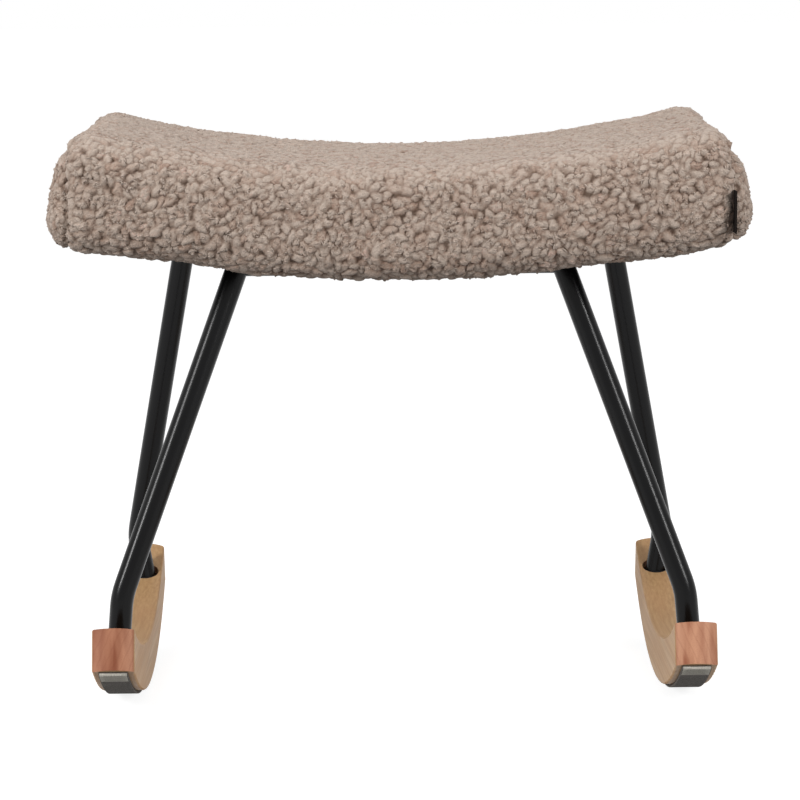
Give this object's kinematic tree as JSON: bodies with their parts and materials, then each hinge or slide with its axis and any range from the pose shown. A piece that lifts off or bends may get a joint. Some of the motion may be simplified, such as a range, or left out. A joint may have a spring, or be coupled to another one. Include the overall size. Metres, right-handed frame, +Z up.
{
  "type": "rocking footstool",
  "caption": "Footstool with a saddle-shaped curly-pile seat on four bent steel legs and two curved wooden rocker runners.",
  "frame": {"origin": "on the floor at the middle of the footprint, where the rockers touch it at rest", "axes": "+X along the seat to the right seen from the front, +Y from the front to the back, +Z up"},
  "size_m": [0.6024, 0.44, 0.5196],
  "materials": {
    "beech": "clear matt lacquer, end grain reddish",
    "black_steel": "satin black powder coat",
    "black_trim": "matt black",
    "zinc_steel": "zinc plated",
    "felt": "pressed grey felt",
    "plywood": "unfinished plywood",
    "foam": "cut foam",
    "curly_pile": "curly loop pile, taupe",
    "lining": "black non-woven cloth",
    "tab_cloth": "dark woven tape, bare"
  },
  "bodies": {
    "root": {"cover_left_end_panel": "curly_pile", "cover_main_panel": "curly_pile", "cover_right_end_panel": "curly_pile", "front_cross_tube": "black_steel", "front_left_collar": "black_trim", "front_left_leg": "black_steel", "front_left_mounting_plate": "black_steel", "front_right_collar": "black_trim", "front_right_leg": "black_steel", "front_right_mounting_plate": "black_steel", "left_felt_strip": "felt", "left_runner": "beech", "leg_inserts": "zinc_steel", "lining_staples": "zinc_steel", "rear_cross_tube": "black_steel", "rear_left_collar": "black_trim", "rear_left_leg": "black_steel", "rear_left_mounting_plate": "black_steel", "rear_right_collar": "black_trim", "rear_right_leg": "black_steel", "rear_right_mounting_plate": "black_steel", "right_felt_strip": "felt", "right_runner": "beech", "runner_bolts": "zinc_steel", "runner_washers": "zinc_steel", "seat_board": "plywood", "seat_bolts": "zinc_steel", "seat_foam": "foam", "seat_washers": "zinc_steel", "side_tab": "tab_cloth", "tee_nuts": "zinc_steel", "underside_lining": "lining"}
  },
  "joints": []
}
